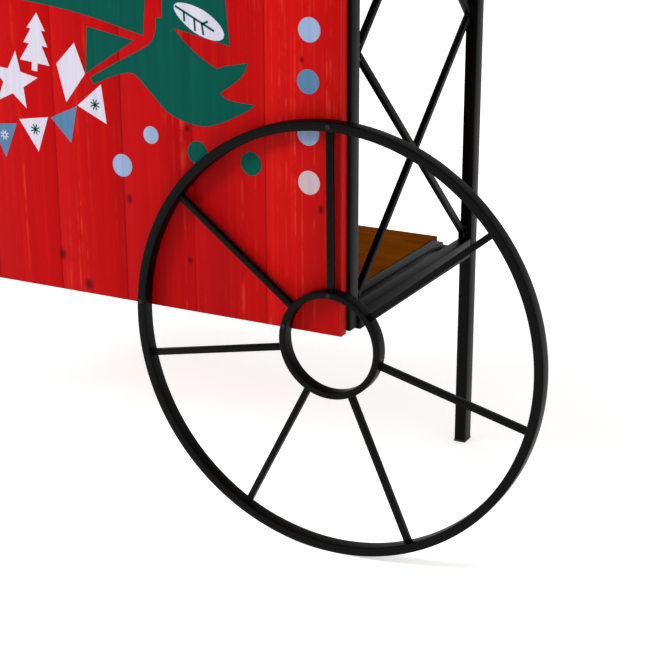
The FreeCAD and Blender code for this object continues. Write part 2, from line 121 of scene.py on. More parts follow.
def lathe_ring(mesh, centre, outer, inner, low_y, high_y, radius, steps):
    """Add a ring of rounded rectangular section about an axis along Y."""
    corners = (
        (inner, low_y, 1, 1), (outer, low_y, -1, 1),
        (outer, high_y, -1, -1), (inner, high_y, 1, -1),
    )
    section = []
    for number, (reach, y, step_r, step_y) in enumerate(corners):
        for part in range(RING_CORNER_STEPS):
            angle = math.pi * (1 + number / 2 + part / (2 * (RING_CORNER_STEPS - 1)))
            middle = Vector((reach + step_r * radius, y + step_y * radius))
            section.append(middle + radius * Vector((math.cos(angle), math.sin(angle))))
    rows = []
    for step in range(steps):
        turn = 2 * math.pi * step / steps
        out = Vector((math.cos(turn), 0, math.sin(turn)))
        rows.append([mesh.verts.new(centre + out * r + Vector((0, y, 0))) for r, y in section])
    bridge(mesh, rows, closed=True)


def bridge(mesh, rows, closed=False, around=True):
    """Join rows of vertices with quads."""
    count = len(rows[0])
    for index in range(len(rows) if closed else len(rows) - 1):
        near, far = rows[index], rows[(index + 1) % len(rows)]
        for step in range(count if around else count - 1):
            following = (step + 1) % count
            mesh.faces.new((near[step], near[following], far[following], far[step]))


def bead(mesh, start, end, radius):
    """Add a weld bead: a tube whose thickness ripples along its length."""
    start, end = Vector(start), Vector(end)
    along = end - start
    length = along.length
    along.normalize()
    side = along.orthogonal().normalized()
    other = along.cross(side)
    count = max(6, round(length / BEAD_RIPPLE * 4))
    rows = []
    for step in range(count + 1):
        share = step / count
        thick = radius * (0.86 + 0.14 * abs(math.sin(math.pi * share * length / BEAD_RIPPLE)))
        thick *= min(1, 4 * math.sqrt(share * (1 - share)) + 0.15)
        centre = start + along * (share * length)
        rows.append([
            mesh.verts.new(centre + thick * (math.cos(a) * side + math.sin(a) * other))
            for a in (2 * math.pi * corner / BEAD_CORNERS for corner in range(BEAD_CORNERS))
        ])
    bridge(mesh, rows)
    mesh.faces.new(rows[0])
    mesh.faces.new(reversed(rows[-1]))


def smooth_outline(points, sharp=()):
    """A closed curve through the points; it turns hard only at the points listed as sharp."""
    count = len(points)
    line = []
    for index in range(count):
        p0, p1, p2, p3 = (Vector(points[(index + step) % count]) for step in (-1, 0, 1, 2))
        a = p1 + ((p2 - p1) / 3 if index in sharp else (p2 - p0) / 6)
        b = p2 - ((p2 - p1) / 3 if (index + 1) % count in sharp else (p3 - p1) / 6)
        for step in range(CURVE_STEPS):
            t = step / CURVE_STEPS
            leaving = (1 - t) ** 3 * p1 + 3 * (1 - t) ** 2 * t * a
            line.append(leaving + 3 * (1 - t) * t ** 2 * b + t ** 3 * p2)
    return line


# ------------------------------------------------------------------ material helpers

NOISE_ROUGH = 0.55


class Graph:
    """A material's node tree with short calls that add and join its nodes."""

    def __init__(self, name):
        self.material = bpy.data.materials.new(name)
        self.material.use_nodes = True
        self.tree = self.material.node_tree
        self.shader = self.tree.nodes["Principled BSDF"]
        coordinates = self.tree.nodes.new("ShaderNodeTexCoord")
        self.place = coordinates.outputs["Object"]

    def add(self, kind, inputs=(), out=0, **settings):
        node = self.tree.nodes.new(f"ShaderNode{kind}")
        for name, value in settings.items():
            setattr(node, name, value)
        for name, value in dict(inputs).items():
            self.feed(node.inputs[name], value)
        return node.outputs[out]

    def feed(self, socket, value):
        if isinstance(value, bpy.types.NodeSocket):
            self.tree.links.new(value, socket)
        else:
            socket.default_value = value

    def set(self, name, value):
        self.feed(self.shader.inputs[name], value)

    def math(self, operation, first, second=0.0):
        return self.add("Math", {0: first, 1: second}, operation=operation)

    def stretch(self, scale, offset=(0, 0, 0)):
        return self.add("Mapping", {"Vector": self.place, "Scale": scale, "Location": offset})

    def noise(self, scale, detail=3.0, vector=None, offset=(0, 0, 0)):
        vector = vector or self.stretch(scale, offset)
        inputs = {"Vector": vector, "Scale": 1.0, "Detail": detail, "Roughness": NOISE_ROUGH}
        return self.add("TexNoise", inputs)

    def ramp(self, value, low, high, to_low=0.0, to_high=1.0):
        names = ("Value", "From Min", "From Max", "To Min", "To Max")
        inputs = dict(zip(names, (value, low, high, to_low, to_high)))
        return self.add("MapRange", inputs, clamp=True)

    def mix(self, factor, first, second):
        inputs = {0: factor, 6: colour(first), 7: colour(second)}
        return self.add("Mix", inputs, out=2, data_type="RGBA", clamp_result=True)

    def bump(self, height, strength, distance):
        return self.add("Bump", {"Height": height, "Strength": strength, "Distance": distance})

    def spot(self, centre, radius_x, radius_z):
        """1 at a point of the XZ plane, falling to 0 at an oval edge."""
        scale = (1 / radius_x, 0, 1 / radius_z)
        offset = (-centre[0] / radius_x, 0, -centre[1] / radius_z)
        place = self.stretch(scale, offset)
        distance = self.add("VectorMath", {0: place}, out=1, operation="LENGTH")
        return self.ramp(distance, 0.0, 1.0, 1.0, 0.0)


def colour(value):
    """Let three numbers stand for an opaque colour."""
    if isinstance(value, tuple) and len(value) == 3:
        return (*value, 1.0)
    return value


BLACK_DEEP = (0.0006, 0.0006, 0.0007)
BLACK_WORN = (0.0012, 0.0012, 0.0013)
BLACK_SPECK = (0.018, 0.018, 0.020)
BLACK_SHINE = 0.06


def powder_coat():
    """Satin black powder coat: fine orange peel and a few tiny pale specks."""
    g = Graph("black_powder_coat")
    cloud = g.noise((7, 7, 7), detail=5)
    peel = g.noise((420, 420, 420), detail=2)
    speck = g.ramp(g.noise((900, 900, 900), detail=1), 0.66, 0.74)
    base = g.mix(g.ramp(cloud, 0.3, 0.7), BLACK_DEEP, BLACK_WORN)
    g.set("Base Color", g.mix(g.math("MULTIPLY", speck, 0.3), base, BLACK_SPECK))
    g.set("Roughness", g.ramp(cloud, 0.25, 0.75, 0.36, 0.46))
    g.set("Specular IOR Level", BLACK_SHINE)
    g.set("Normal", g.bump(peel, 0.22, 0.0006))
    return g.material


def black_steel_bolt():
    """Black oxide on the bolt heads, rubbed thinner in small patches."""
    g = Graph("black_oxide")
    rub = g.ramp(g.noise((600, 600, 600), detail=4), 0.45, 0.7)
    g.set("Base Color", g.mix(rub, (0.0020, 0.0020, 0.0022), (0.0120, 0.0120, 0.0130)))
    g.set("Roughness", g.ramp(rub, 0, 1, 0.42, 0.3))
    g.set("Specular IOR Level", 0.14)
    return g.material


def zinc():
    """Bright zinc plate with faint blotches."""
    g = Graph("zinc_plate")
    blotch = g.noise((160, 160, 160), detail=4)
    g.set("Base Color", g.mix(blotch, (0.42, 0.43, 0.46), (0.66, 0.66, 0.65)))
    g.set("Metallic", 1.0)
    g.set("Roughness", g.ramp(blotch, 0.3, 0.7, 0.28, 0.46))
    return g.material


def matte_plastic():
    """Moulded black plastic of the foot plugs."""
    g = Graph("moulded_plastic")
    grain = g.noise((1500, 1500, 1500), detail=2)
    g.set("Base Color", g.mix(grain, (0.010, 0.010, 0.010), (0.018, 0.018, 0.018)))
    g.set("Roughness", g.ramp(grain, 0.3, 0.7, 0.62, 0.75))
    g.set("Normal", g.bump(grain, 0.3, 0.0003))
    return g.material


# How far the grain moves along Y and Z from one plank to the next.
PLANK_SHIFTS = (3.7, 5.3)


def plank_shift(g):
    """A different shift along the grain for each plank, so that no streak crosses a seam."""
    x = g.add("SeparateXYZ", {0: g.place}, out=0)
    number = g.math("FLOOR", g.math("DIVIDE", g.math("ADD", x, PANEL_HALF), PLANK_PITCH))
    shift_y, shift_z = (g.math("MULTIPLY", number, step) for step in PLANK_SHIFTS)
    shift = g.add("CombineXYZ", {"Y": shift_y, "Z": shift_z})
    return g.add("VectorMath", {0: g.place, 1: shift}, operation="ADD")


def along_grain(g, shifted, across, along):
    """Coordinates for a noise that is long along the planks."""
    return g.add("Mapping", {"Vector": shifted, "Scale": (across, across, along)})


# Knots of the front: place on the panel in mm from its centre and its bottom, and half sizes.
KNOTS = (
    (241, 153, 4, 7), (118, 54, 6, 9), (163, 14, 7, 9), (340, 76, 4, 6), (341, 265, 4, 5),
    (521, 375, 3, 4), (549, 176, 4, 6), (474, 640, 5, 8), (300, 560, 4, 7), (60, 650, 6, 9),
    (-95, 92, 5, 8), (-210, 236, 4, 6), (-330, 40, 6, 9), (-398, 181, 4, 7), (-505, 118, 5, 7),
    (-455, 470, 5, 8), (-150, 700, 4, 7), (-540, 620, 4, 6),
)

# The reds of the stain, and how strongly pale stripes, seams and the light painted on the planks'
# sides and backs show.
RED_DARK = (0.240, 0.0006, 0.0014)
RED_LIGHT = (0.308, 0.0008, 0.0014)
RED_BRIGHT = (0.430, 0.0060, 0.0030)
RED_DEEP = (0.165, 0.0004, 0.0010)
RED_PALE = (0.500, 0.040, 0.020)
RED_KNOT = (0.045, 0.0006, 0.0016)
RED_PAINTED_SIDE_LIGHT = (0.580, 0.0080, 0.0080)
WOOD_SHINE = 0.03
PALE_SHARE = 0.66
SEAM_SHARE = 0.26
SIDE_LIGHT_SHARE = 0.8
# Pale stripes crowd on the last plank to the right, which begins between these two places.
LAST_PLANK_FROM, LAST_PLANK_TO = 0.395, 0.465


def red_planks():
    """Red stain over knotty softwood: streaks along the grain, pale pinstripes, dark knots, painted
    light on the planks' sides and backs, and a painted highlight along the front's outer edges.
    """
    g = Graph("red_stained_planks")
    x, y = (g.add("SeparateXYZ", {0: g.place}, out=axis) for axis in range(2))
    shifted = plank_shift(g)
    broad = g.noise((11, 11, 0.6), detail=2)
    medium = g.noise(None, detail=4, vector=along_grain(g, shifted, 80, 1.8))
    fine = g.noise(None, detail=3, vector=along_grain(g, shifted, 480, 6))
    stripe = g.noise(None, detail=2, vector=along_grain(g, shifted, 170, 1.6))
    break_up = g.noise(None, detail=3, vector=along_grain(g, shifted, 60, 32))
    cluster = g.noise((16, 16, 0.4), detail=1, offset=(3.1, 0, 0))
    tone = g.mix(g.ramp(broad, 0.34, 0.66), RED_DARK, RED_LIGHT)
    tone = g.mix(g.ramp(medium, 0.52, 0.80, 0, 0.5), tone, RED_BRIGHT)
    tone = g.mix(g.ramp(medium, 0.2, 0.44, 0.35, 0), tone, RED_DEEP)
    tone = g.mix(g.ramp(fine, 0.35, 0.75, 0, 0.16), tone, RED_DEEP)
    last_plank = g.ramp(x, LAST_PLANK_FROM, LAST_PLANK_TO)
    tone = g.mix(g.math("MULTIPLY", last_plank, 0.25), tone, RED_BRIGHT)
    crowd = g.math("MAXIMUM", g.ramp(cluster, 0.54, 0.64, 0.06, 0.75), last_plank)
    pale = g.math("MULTIPLY", g.ramp(stripe, 0.54, 0.72), g.ramp(break_up, 0.42, 0.62))
    pale = g.math("MULTIPLY", pale, crowd)
    from_seam = g.math("PINGPONG", x, PLANK_PITCH / 2)
    pale = g.math("MULTIPLY", pale, g.ramp(from_seam, 2 * MM, 6 * MM))
    tone = g.mix(g.math("MULTIPLY", pale, PALE_SHARE), tone, RED_PALE)
    tone = g.mix(g.ramp(from_seam, 0.4 * MM, 2.6 * MM, SEAM_SHARE, 0), tone, RED_KNOT)
    dark = None
    for knot_x, knot_z, wide, high in KNOTS:
        knot = g.spot((knot_x * MM, PANEL_BOTTOM + knot_z * MM), 1.9 * wide * MM, 1.7 * high * MM)
        dark = knot if dark is None else g.math("MAXIMUM", dark, knot)
    ragged = g.math("ADD", dark, g.math("MULTIPLY", g.math("SUBTRACT", break_up, 0.5), 0.45))
    tone = g.mix(g.ramp(ragged, 0.20, 0.80, 0, 0.85), tone, RED_KNOT)
    # Painted highlight: a pale line along the front's two outer edges, where the rounded arris
    # catches the light.
    edge = g.ramp(g.math("ABSOLUTE", x), PANEL_HALF - 3 * MM, PANEL_HALF - 1.2 * MM, 0, 0.25)
    tone = g.mix(g.math("MULTIPLY", edge, g.ramp(break_up, 0.3, 0.6, 0.4, 1.0)), tone, RED_PALE)
    # Painted light: the planks' sides and backs, which the key lamp doesn't reach, are painted much
    # lighter than their front.
    side = g.ramp(y, PANEL_FACE + 1 * MM, PANEL_FACE + 2 * MM, 0, SIDE_LIGHT_SHARE)
    g.set("Base Color", g.mix(side, tone, RED_PAINTED_SIDE_LIGHT))
    g.set("Roughness", g.ramp(medium, 0.3, 0.7, 0.42, 0.56))
    g.set("Specular IOR Level", WOOD_SHINE)
    height = g.math("ADD", g.math("MULTIPLY", medium, 0.5), g.math("MULTIPLY", fine, 0.5))
    g.set("Normal", g.bump(height, 0.35, 0.0006))
    return g.material


def stained_board(name, dark, light, gloss):
    """Brown stained softwood with its grain along X."""
    g = Graph(name)
    wave = g.noise((1.2, 9, 9), detail=3)
    streak = g.noise((3, 95, 95), detail=5)
    fine = g.noise((12, 520, 520), detail=3)
    blotch = g.noise((9, 14, 14), detail=4)
    tone = g.mix(g.ramp(wave, 0.3, 0.7), dark, light)
    tone = g.mix(g.ramp(streak, 0.45, 0.8, 0, 0.6), tone, tuple(0.45 * part for part in dark))
    tone = g.mix(g.ramp(blotch, 0.5, 0.8, 0, 0.35), tone, tuple(1.25 * part for part in light))
    tone = g.mix(g.ramp(fine, 0.4, 0.75, 0, 0.25), tone, tuple(0.3 * part for part in dark))
    g.set("Base Color", tone)
    g.set("Roughness", g.ramp(streak, 0.3, 0.7, 0.42, 0.58))
    g.set("Specular IOR Level", gloss)
    g.set("Normal", g.bump(g.math("ADD", streak, fine), 0.3, 0.0005))
    return g.material


PAINT_SHADE = 0.80


def paint(name, tone):
    """Flat printed paint through which the planks' grain shows faintly."""
    g = Graph(f"paint_{name}")
    shifted = plank_shift(g)
    grain = g.noise(None, detail=4, vector=along_grain(g, shifted, 110, 2.4))
    wear = g.noise(None, detail=3, vector=along_grain(g, shifted, 480, 9))
    shade = tuple(PAINT_SHADE * part for part in tone)
    both = g.math("ADD", grain, g.math("MULTIPLY", wear, 0.4))
    g.set("Base Color", g.mix(g.ramp(both, 0.45, 0.95), tone, shade))
    g.set("Roughness", g.ramp(grain, 0.3, 0.7, 0.42, 0.56))
    g.set("Specular IOR Level", WOOD_SHINE)
    g.set("Normal", g.bump(g.math("ADD", grain, wear), 0.28, 0.0005))
    return g.material


CANOPY_LONG = 1.331
STRIPES = 22
STRIPE_WIDE = CANOPY_LONG / STRIPES
STRIPE_BLUR = 0.6 * MM
WEAVE_SCALE = 420.0
CREAM_DARK, CREAM_LIGHT = (0.56, 0.50, 0.38), (0.64, 0.58, 0.46)
CLOTH_RED_DARK, CLOTH_RED_LIGHT = (0.30, 0.006, 0.008), (0.38, 0.010, 0.010)
SLUB_TONE = (0.20, 0.10, 0.07)
WEAVE_TONE = (0.12, 0.06, 0.05)


def canvas(name, striped):
    """Heavy cotton canvas in a plain weave, striped red and cream or all red."""
    g = Graph(name)
    threads = {"Vector": g.stretch((1, 1, 1)), "Scale": WEAVE_SCALE}
    weaves = [g.add("TexWave", threads, out=1, bands_direction=way) for way in ("X", "DIAGONAL")]
    weave = g.math("MULTIPLY", *weaves)
    fade = g.ramp(g.noise((5, 5, 5), detail=4), 0.3, 0.7)
    slub = g.noise((60, 900, 900), detail=2)
    tone = g.mix(fade, CLOTH_RED_DARK, CLOTH_RED_LIGHT)
    if striped:
        cream = g.mix(fade, CREAM_DARK, CREAM_LIGHT)
        axis = g.add("SeparateXYZ", {0: g.place}, out=0)
        phase = g.math("PINGPONG", g.math("ADD", axis, 10 * STRIPE_WIDE), STRIPE_WIDE)
        share = g.ramp(phase, STRIPE_WIDE / 2 - STRIPE_BLUR, STRIPE_WIDE / 2 + STRIPE_BLUR)
        tone = g.mix(share, tone, cream)
    tone = g.mix(g.ramp(slub, 0.35, 0.8, 0, 0.2), tone, SLUB_TONE)
    g.set("Base Color", g.mix(g.math("MULTIPLY", weave, 0.14), tone, WEAVE_TONE))
    g.set("Roughness", 0.86)
    g.set("Specular IOR Level", 0.2)
    g.set("Sheen Weight", 0.25)
    g.set("Normal", g.bump(weave, 0.45, 0.0004))
    return g.material


BLACK = powder_coat()
RED_WOOD = red_planks()
SHELF_WOOD = stained_board("brown_shelf", (0.230, 0.052, 0.0018), (0.340, 0.098, 0.0052), 0.0)
COUNTER_WOOD = stained_board("brown_counter", (0.110, 0.032, 0.0045), (0.180, 0.064, 0.0120), 0.12)
BOLT_BLACK = black_steel_bolt()
ZINC = zinc()
PLASTIC = matte_plastic()
CANVAS = canvas("striped_canvas", striped=True)
RED_CANVAS = canvas("red_canvas", striped=False)
GREEN = paint("green", (0.0003, 0.054, 0.040))
LIGHT_BLUE = paint("light_blue", (0.190, 0.260, 0.390))
MID_BLUE = paint("mid_blue", (0.058, 0.135, 0.225))
WHITE = paint("white", (0.415, 0.400, 0.470))
BLUSH = paint("blush_white", (0.360, 0.285, 0.305))


# ------------------------------------------------------------------ frame

CANOPY_TUBE = 2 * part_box("canopy_ridge_rail")[1].y
TUBE_ROUND = 1.6 * MM
FRAME_TUBES = [
    "lower_front_rail", "middle_front_rail", "upper_front_rail", "lower_rear_rail",
    "upper_rear_rail", "counter_middle_rail", "canopy_ridge_rail",
]
for side in SIDES:
    FRAME_TUBES += [
        f"front_post_{side}", f"rear_leg_{side}", f"canopy_post_front_{side}",
        f"canopy_post_rear_{side}", f"lower_side_rail_{side}", f"upper_side_rail_{side}",
        f"shelf_side_rail_{side}",
    ]


def frame_tubes():
    """Rolled tube has rounded corners, which catch a thin line of light."""
    for name in FRAME_TUBES:
        mesh = bmesh.new()
        rounded_block(mesh, *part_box(name), TUBE_ROUND)
        piece(f"{name}_tube", mesh, BLACK, [name])


def paired_tubes(name, axis):
    """The two equal canopy tubes of a node, one each side of the cart's middle along an axis."""
    low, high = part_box(name)
    mesh = bmesh.new()
    for sign in (-1, 1):
        near, far = low.copy(), high.copy()
        if sign < 0:
            far[axis] = near[axis] + CANOPY_TUBE
        else:
            near[axis] = far[axis] - CANOPY_TUBE
        rounded_block(mesh, near, far, TUBE_ROUND)
    piece(f"{name}_tubes", mesh, BLACK, [name])


frame_tubes()
paired_tubes("canopy_cross_rails", 0)
paired_tubes("canopy_king_posts", 0)
paired_tubes("canopy_eave_rails", 1)


# ------------------------------------------------------------------ side lattices

# How far the joints between the cells lie below the middle, and the size of a joint's upright.
LATTICE_DROP = 12 * MM
JOINT_DEEP = 12 * MM
JOINT_HIGH = 23 * MM
# Radii of the weld beads, and the place and half length of those between the two cells' bars.
POST_BEAD = 1.6 * MM
CROTCH_IN = 8 * MM
CROTCH_BEAD = 3 * MM
CROTCH_HALF = 4 * MM


def lattice(side):
    """Two crossed cells of square bar; the bars meet in short uprights welded to the posts."""
    name = f"side_lattice_{side}"
    low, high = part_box(name)
    x, thick = (low.x + high.x) / 2, high.x - low.x
    front, back = low.y + JOINT_DEEP / 2, high.y - JOINT_DEEP / 2
    bottom, top = low.z + JOINT_HIGH / 2, high.z - JOINT_HIGH / 2
    middle = (bottom + top) / 2 - LATTICE_DROP
    mesh, beads = bmesh.new(), bmesh.new()
    for cell_low, cell_high in ((bottom, middle), (middle, top)):
        for front_z, back_z in ((cell_low, cell_high), (cell_high, cell_low)):
            start, end = Vector((x, front, front_z)), Vector((x, back, back_z))
            bar(mesh, start, end, thick, thick, (1, 0, 0))
    for height in (bottom, middle, top):
        foot_z, head_z = height - JOINT_HIGH / 2, height + JOINT_HIGH / 2
        for y, post in ((front, low.y), (back, high.y)):
            bar(mesh, (x, y, foot_z), (x, y, head_z), JOINT_DEEP, thick, (1, 0, 0))
            for edge in (low.x, high.x):
                bead(beads, (edge, post, foot_z), (edge, post, head_z), POST_BEAD)
    for y in (front + CROTCH_IN, back - CROTCH_IN):
        bead(beads, (x, y, middle - CROTCH_HALF), (x, y, middle + CROTCH_HALF), CROTCH_BEAD)
    piece(f"{name}_bars", mesh, BLACK, [name])
    piece(f"{name}_welds", beads, BLACK)


for side in SIDES:
    lattice(side)


# ------------------------------------------------------------------ wheels

RIM_ROUND = 1.4 * MM
RIM_WIDE = 13.3 * MM
HUB_WIDE = 9.7 * MM
RIM_STEPS, HUB_STEPS = 192, 96
# How many degrees each spoke leans off an even spacing.
SPOKE_LEANS = (0.5, 1.2, -1.2, -1.3, -1.7, -1.3, 0.5)
SPOKE_BITE = 0.5 * MM
SPOKE_BEAD_OUT = 1.1 * MM
SIDE_BEAD, SIDE_BEAD_HALF = 1.5 * MM, 3 * MM
FACE_BEAD, FACE_BEAD_HALF = 1.3 * MM, 4 * MM


def wheel(side, sign):
    """A flat wheel: rolled rim and hub ring joined by seven spokes set a little unevenly."""
    rim_low, rim_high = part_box(f"wheel_rim_{side}")
    hub_low, hub_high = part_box(f"wheel_hub_ring_{side}")
    centre = Vector(((rim_low.x + rim_high.x) / 2, 0, (rim_low.z + rim_high.z) / 2))
    outer, hub = (rim_high.x - rim_low.x) / 2, (hub_high.x - hub_low.x) / 2
    spoke_low, spoke_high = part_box(f"wheel_spokes_{side}")
    middle = (spoke_low.y + spoke_high.y) / 2
    rings = (
        ("wheel_rim", outer, RIM_WIDE, RIM_STEPS),
        ("wheel_hub_ring", hub, HUB_WIDE, HUB_STEPS),
    )
    for name, reach, thick, steps in rings:
        mesh = bmesh.new()
        lathe_ring(mesh, centre, reach, reach - thick, rim_low.y, rim_high.y, RIM_ROUND, steps)
        piece(f"{name}_{side}_bar", mesh, BLACK, [f"{name}_{side}"])
    spokes, beads = bmesh.new(), bmesh.new()
    spoke_bar = spoke_high.y - spoke_low.y
    deep = Vector((0, SIDE_BEAD_HALF, 0))
    for number, lean in enumerate(SPOKE_LEANS):
        angle = math.radians(90 + sign * (360 / len(SPOKE_LEANS) * number + lean))
        out = Vector((math.cos(angle), 0, math.sin(angle)))
        across = Vector((-out.z, 0, out.x))
        start = centre + out * (hub - SPOKE_BITE) + Vector((0, middle, 0))
        end = centre + out * (outer - RIM_WIDE + SPOKE_BITE) + Vector((0, middle, 0))
        bar(spokes, start, end, spoke_bar, spoke_bar, (0, 1, 0))
        for joint, inward in ((start, 1), (end, -1)):
            weld = joint + out * inward * SPOKE_BEAD_OUT
            for edge in (-1, 1):
                at = weld + across * edge * spoke_bar / 2
                bead(beads, at - deep, at + deep, SIDE_BEAD)
            front = weld - Vector((0, spoke_bar / 2, 0))
            bead(beads, front - across * FACE_BEAD_HALF, front + across * FACE_BEAD_HALF, FACE_BEAD)
    piece(f"wheel_spokes_{side}_bars", spokes, BLACK, [f"wheel_spokes_{side}"])
    piece(f"wheel_welds_{side}", beads, BLACK)


for side, sign in SIDES.items():
    wheel(side, sign)


# ------------------------------------------------------------------ planks and boards

PLANK_ROUND = 0.25 * MM
SHELF_ROUND = 1.2 * MM
COUNTER_ROUND = 1.6 * MM
SHORT_EDGE = 15 * MM


def front_planks():
    for name in PLANKS:
        mesh = bmesh.new()
        rounded_block(mesh, *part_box(name), PLANK_ROUND)
        piece(f"{name}_board", mesh, RED_WOOD, [name])


def shelf():
    mesh = bmesh.new()
    rounded_block(mesh, *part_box("shelf_board"), SHELF_ROUND)
    piece("shelf_board_top", mesh, SHELF_WOOD, ["shelf_board"])


def counter_boards():
    """The counter's boards with eased edges, notched round the posts."""
    for number in range(1, 5):
        name = f"counter_board_{number}"
        mesh = bmesh.new()
        mesh.from_mesh(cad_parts[name].data)
        bmesh.ops.remove_doubles(mesh, verts=mesh.verts, dist=1e-6)
        bmesh.ops.dissolve_limit(
            mesh, angle_limit=math.radians(1), verts=mesh.verts, edges=mesh.edges)
        edges = [
            edge for edge in mesh.edges
            if edge.is_manifold and edge.calc_face_angle() > math.radians(50)
            and edge.calc_length() > SHORT_EDGE
        ]
        bmesh.ops.bevel(
            mesh, geom=edges, offset=COUNTER_ROUND, segments=3, profile=0.5, affect="EDGES")
        piece(f"{name}_top", mesh, COUNTER_WOOD, [name])


front_planks()
shelf()
counter_boards()


# ------------------------------------------------------------------ painted motifs

PAINT_THICK = 0.18 * MM
SEAM_HALF = 0.14 * MM
PAINT_SMOOTH = 20

# Corners of a painted round, and in mm the breadth of a leaf's rib and half that of a flake's arm.
ROUND_STEPS = 28
RIB_THICK = 3.0
FLAKE_HALF = 0.9


def painted(name, outlines, material, layer=0):
    """Thin paint on the planks, broken at each seam.  Outlines are in mm from the front's
    centre and its bottom edge; a higher layer lies on top of a lower one."""
    mesh = bmesh.new()
    back = PANEL_FACE - layer * PAINT_THICK
    for outline in outlines:
        corners = [mesh.verts.new((x * MM, back, PANEL_BOTTOM + z * MM)) for x, z in outline]
        mesh.faces.new(corners)
    seams = [-PANEL_HALF + PLANK_PITCH * number for number in range(1, len(PLANKS))]
    for seam in seams:
        for edge in (seam - SEAM_HALF, seam + SEAM_HALF):
            geometry = list(mesh.verts) + list(mesh.edges) + list(mesh.faces)
            bmesh.ops.bisect_plane(
                mesh, geom=geometry, plane_co=(edge, 0, 0), plane_no=(1, 0, 0), dist=1e-7)
    loose = [
        face for face in mesh.faces
        if any(abs(face.calc_center_median().x - seam) < SEAM_HALF for seam in seams)
    ]
    bmesh.ops.delete(mesh, geom=loose, context="FACES")
    made = bmesh.ops.extrude_face_region(mesh, geom=list(mesh.faces))
    lifted = [item for item in made["geom"] if isinstance(item, bmesh.types.BMVert)]
    bmesh.ops.translate(mesh, verts=lifted, vec=(0, -PAINT_THICK, 0))
    bmesh.ops.triangulate(mesh, faces=[face for face in mesh.faces if len(face.verts) > 4])
    piece(name, mesh, material, smooth=PAINT_SMOOTH)


def mirrored(outlines):
    """The outlines and their images in the panel's middle."""
    return outlines + [[(-x, z) for x, z in reversed(outline)] for outline in outlines]


def disc(x, z, radius):
    turns = [2 * math.pi * step / ROUND_STEPS for step in range(ROUND_STEPS)]
    return [(x + radius * math.cos(turn), z + radius * math.sin(turn)) for turn in turns]


def turned(points, x, z, degrees, scale=1.0):
    """Points about the origin, scaled, turned and moved to a place."""
    c, s = math.cos(math.radians(degrees)), math.sin(math.radians(degrees))
    return [(x + scale * (c * a - s * b), z + scale * (s * a + c * b)) for a, b in points]


def star(tips, outer, inner):
    """A star about the origin with one tip up."""
    points = []
    for step in range(2 * tips):
        reach = inner if step % 2 else outer
        turn = math.pi / 2 + math.pi * step / tips
        points.append((reach * math.cos(turn), reach * math.sin(turn)))
    return points


def flake(x, z, reach):
    """A little eight-armed star drawn as four crossing strokes."""
    half = FLAKE_HALF
    arm = [(-reach, -half), (reach, -half), (reach, half), (-reach, half)]
    return [turned(arm, x, z, 22.5 + 45 * number) for number in range(4)]


FIR = ((0, 42), (16, 18), (9, 18), (21, -4), (11, -4), (26, -30), (5, -30), (5, -42),
       (-5, -42), (-5, -30), (-26, -30), (-11, -4), (-21, -4), (-9, 18), (-16, 18))
GEM = ((0, 44), (25, 6), (0, -44), (-25, 6))
BELL = ((-6, 40), (6, 40), (13, 22), (17, -8), (28, -28), (-28, -28), (-17, -8), (-13, 22))


STEM_SLIM = 0.16


def leaf(x, z, degrees, half_long, half_wide):
    """An oval that is a little slimmer at its stem."""
    line = []
    for step in range(ROUND_STEPS):
        angle = 2 * math.pi * step / ROUND_STEPS
        along = math.cos(angle)
        slim = 1 - STEM_SLIM * max(0.0, -along)
        line.append((half_long * along, half_wide * slim * math.sin(angle)))
    return turned(line, x, z, degrees)


def stroke(start, end, thick):
    """A straight painted line as a narrow oblong."""
    a, b = Vector(start), Vector(end)
    side = (b - a).orthogonal().normalized() * thick / 2
    return [tuple(point) for point in (a + side, a - side, b - side, b + side)]


# Ribs of a leaf: foot as a share of the leaf's half length, direction in degrees, length.
RIBS = ((-0.60, -61, 13), (-0.18, -61, 17), (0.12, -55, 16), (0.16, 50, 9))


def leaf_veins(x, z, degrees, half_long, flip):
    """The midrib of a leaf and its ribs, most of them on one side."""
    lines = [((-0.96 * half_long, 0), (0.62 * half_long, 0))]
    for share, lean, length in RIBS:
        foot = share * half_long
        turn = math.radians(flip * lean)
        lines.append(((foot, 0), (foot + length * math.cos(turn), length * math.sin(turn))))
    return [turned(stroke(a, b, RIB_THICK), x, z, degrees) for a, b in lines]


# Pennants hang from a slack line: left top, right top and tip of each on the right side.
PENNANTS = (
    ((1, 238), (48, 243), (25, 190)),
    ((53, 250), (105, 258), (85, 205)),
    ((110, 258), (157, 279), (144, 224)),
    ((158, 280), (200, 314), (207, 258)),
)

# The two leaves of each banner end: place, direction in degrees, half length, half width, and the
# side on which most ribs lie.
LEAVES = ((364, 414, -26, 43, 17, 1), (352, 478, 34, 40, 17, -1))


def ribbon_tail():
    """The swallow-tailed end of the ribbon, below and beside the banner."""
    points = (
        (295, 414), (293, 394), (280, 375), (225, 346), (182, 322), (188, 313), (221, 327),
        (254, 334), (281, 312), (316, 282), (371, 271), (427, 293), (450, 308), (410, 311),
        (395, 319), (428, 343), (440, 364), (404, 357), (387, 354), (350, 377), (323, 402),
        (305, 414),
    )
    return smooth_outline(points, sharp=(0, 4, 5, 12, 14, 16, 20, 21))


